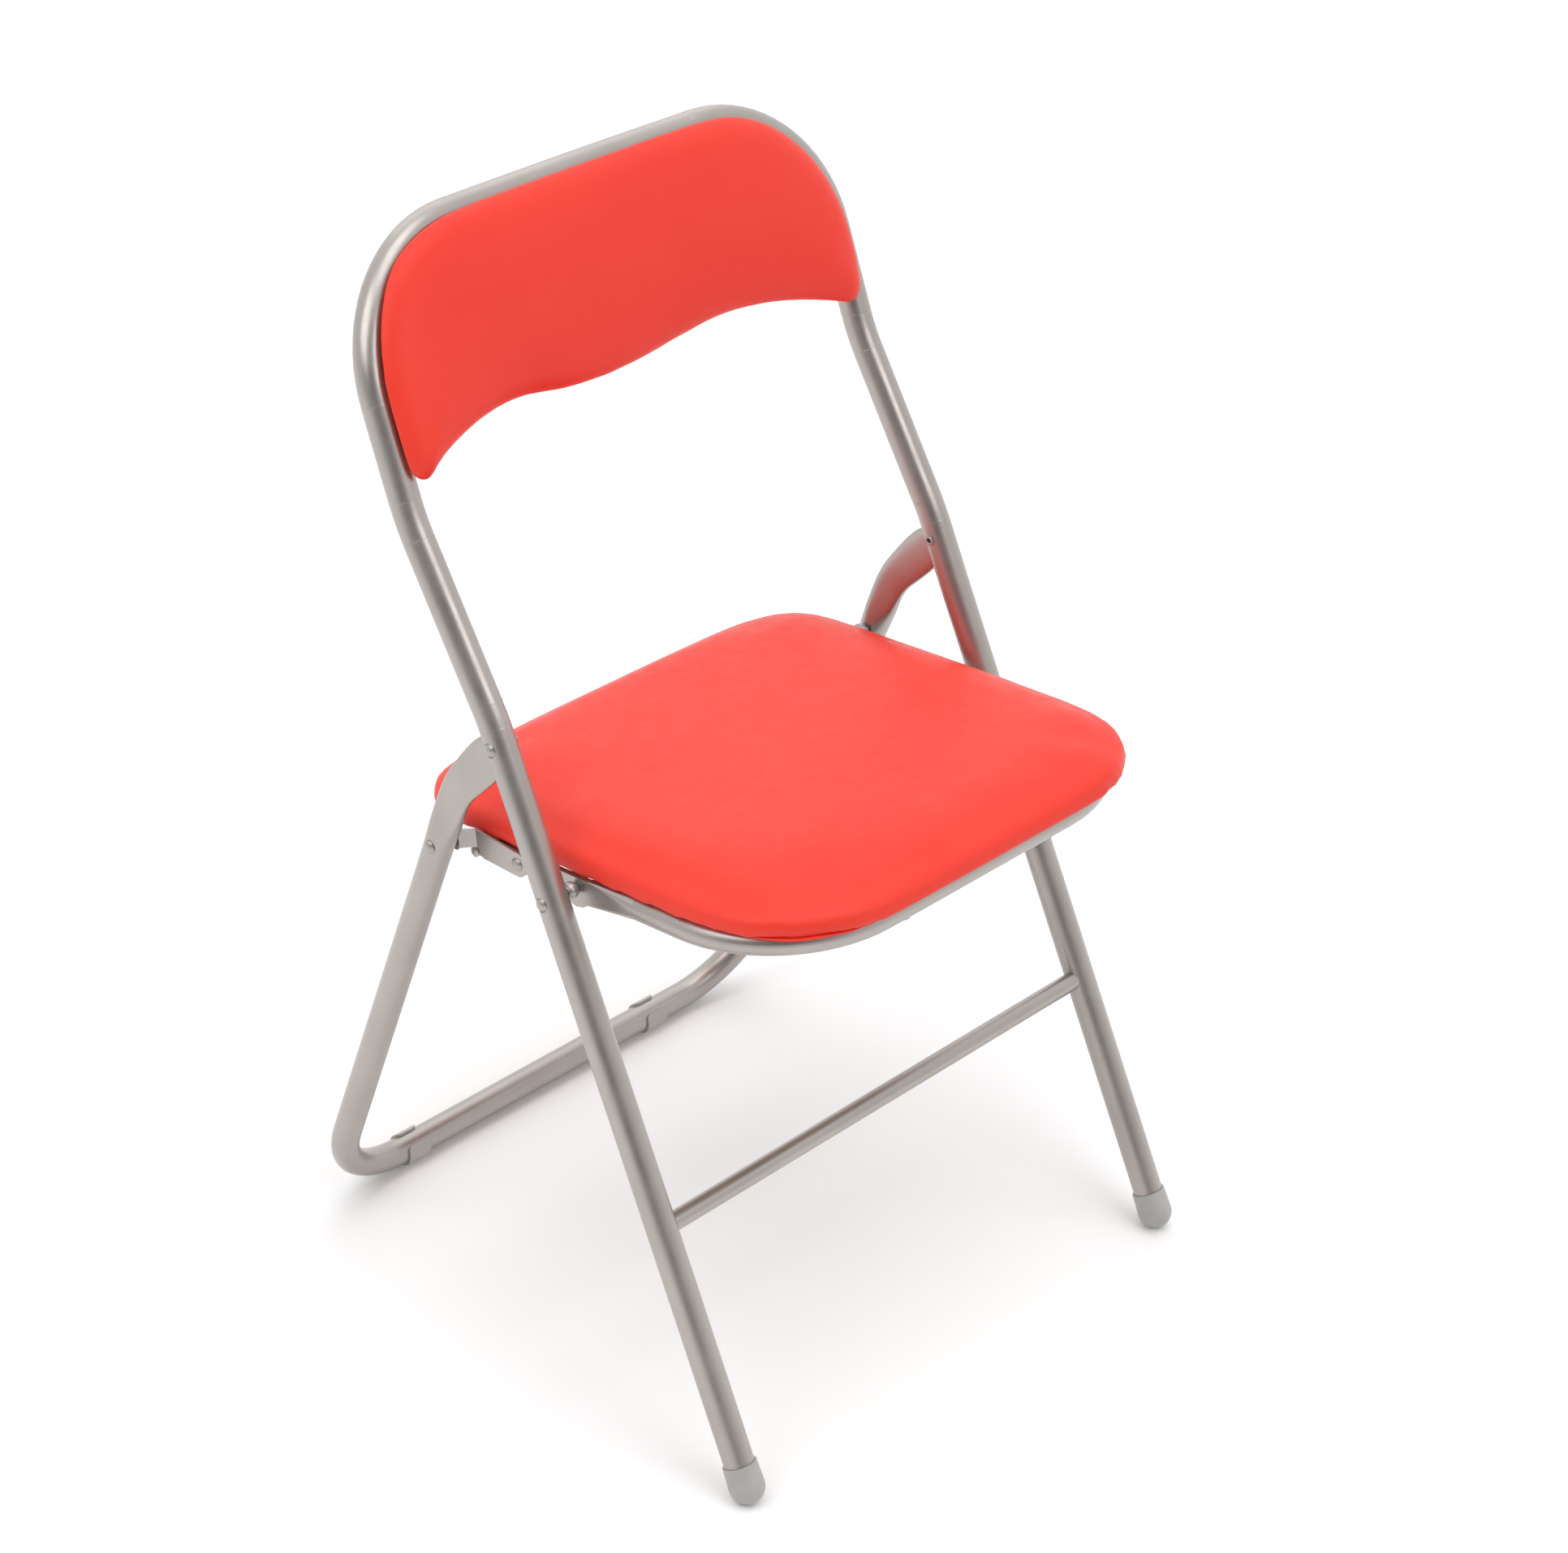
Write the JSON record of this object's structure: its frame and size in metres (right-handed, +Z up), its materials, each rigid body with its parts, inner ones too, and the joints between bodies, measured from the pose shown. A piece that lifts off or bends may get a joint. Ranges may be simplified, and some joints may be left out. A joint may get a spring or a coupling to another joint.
{
  "type": "folding chair",
  "caption": "Padded folding chair: bent steel tube frames, a vinyl seat and back, and links that lock it open on pins and fold it flat",
  "frame": {"origin": "on the floor, under the middle of the bounding box", "axes": "+Z up, the chair faces -Y, +X is the sitter's left"},
  "size_m": [0.4676, 0.4634, 0.7935],
  "materials": {
    "frame_paint": "satin silver-grey paint",
    "rivet_steel": "plated",
    "screw_steel": "dark zinc",
    "red_vinyl": "smooth vinyl",
    "foam": "upholstery foam",
    "board": "plywood",
    "grey_plastic": "moulded"
  },
  "bodies": {
    "front": {"front_frame": "frame_paint", "crossbar": "frame_paint", "foot_cap_left": "grey_plastic", "foot_cap_right": "grey_plastic", "back_tabs": "frame_paint", "back_board": "board", "back_foam": "foam", "back_cover": "red_vinyl", "back_screws": "screw_steel", "leg_pivot_rivets": "rivet_steel", "seat_pivot_rivets": "rivet_steel", "seat_spacer_left": "rivet_steel", "seat_spacer_right": "rivet_steel"},
    "rear": {"rear_frame": "frame_paint", "rear_glide_left": "grey_plastic", "rear_glide_right": "grey_plastic", "link_rear_rivets": "rivet_steel"},
    "seat": {"seat_frame": "frame_paint", "seat_cross_strap": "frame_paint", "seat_board": "board", "seat_foam": "foam", "seat_cover": "red_vinyl", "seat_screws": "screw_steel", "stop_pins": "rivet_steel", "link_front_rivets": "rivet_steel"},
    "link_left": {"link_plate_left": "frame_paint", "link_rivet_tail_left": "rivet_steel"},
    "link_right": {"link_plate_right": "frame_paint", "link_rivet_tail_right": "rivet_steel"}
  },
  "joints": [
    {"name": "seat_fold", "type": "hinge", "parent": "front", "child": "seat", "pos_m": [0, -0.01001, 0.39117], "axis": [-1, 0, 0], "range_deg": [0, 110.7]},
    {"name": "rear_fold", "type": "hinge", "parent": "front", "child": "rear", "pos_m": [0, 0.04278, 0.48699], "axis": [-1, 0, 0], "range_deg": [0, 46.56]},
    {"name": "link_left_swing", "type": "hinge", "parent": "seat", "child": "link_left", "pos_m": [0, 0.04613, 0.38177], "axis": [1, 0, 0], "range_deg": [0, 143.72]},
    {"name": "link_right_swing", "type": "hinge", "parent": "seat", "child": "link_right", "pos_m": [0, 0.04613, 0.38177], "axis": [1, 0, 0], "range_deg": [0, 143.72]}
  ],
  "couplings": [
    {"joint": "rear_fold", "follows": "seat_fold", "ratio": 0.42051},
    {"joint": "link_left_swing", "follows": "seat_fold", "ratio": 1.2981},
    {"joint": "link_right_swing", "follows": "seat_fold", "ratio": 1.2981}
  ]
}
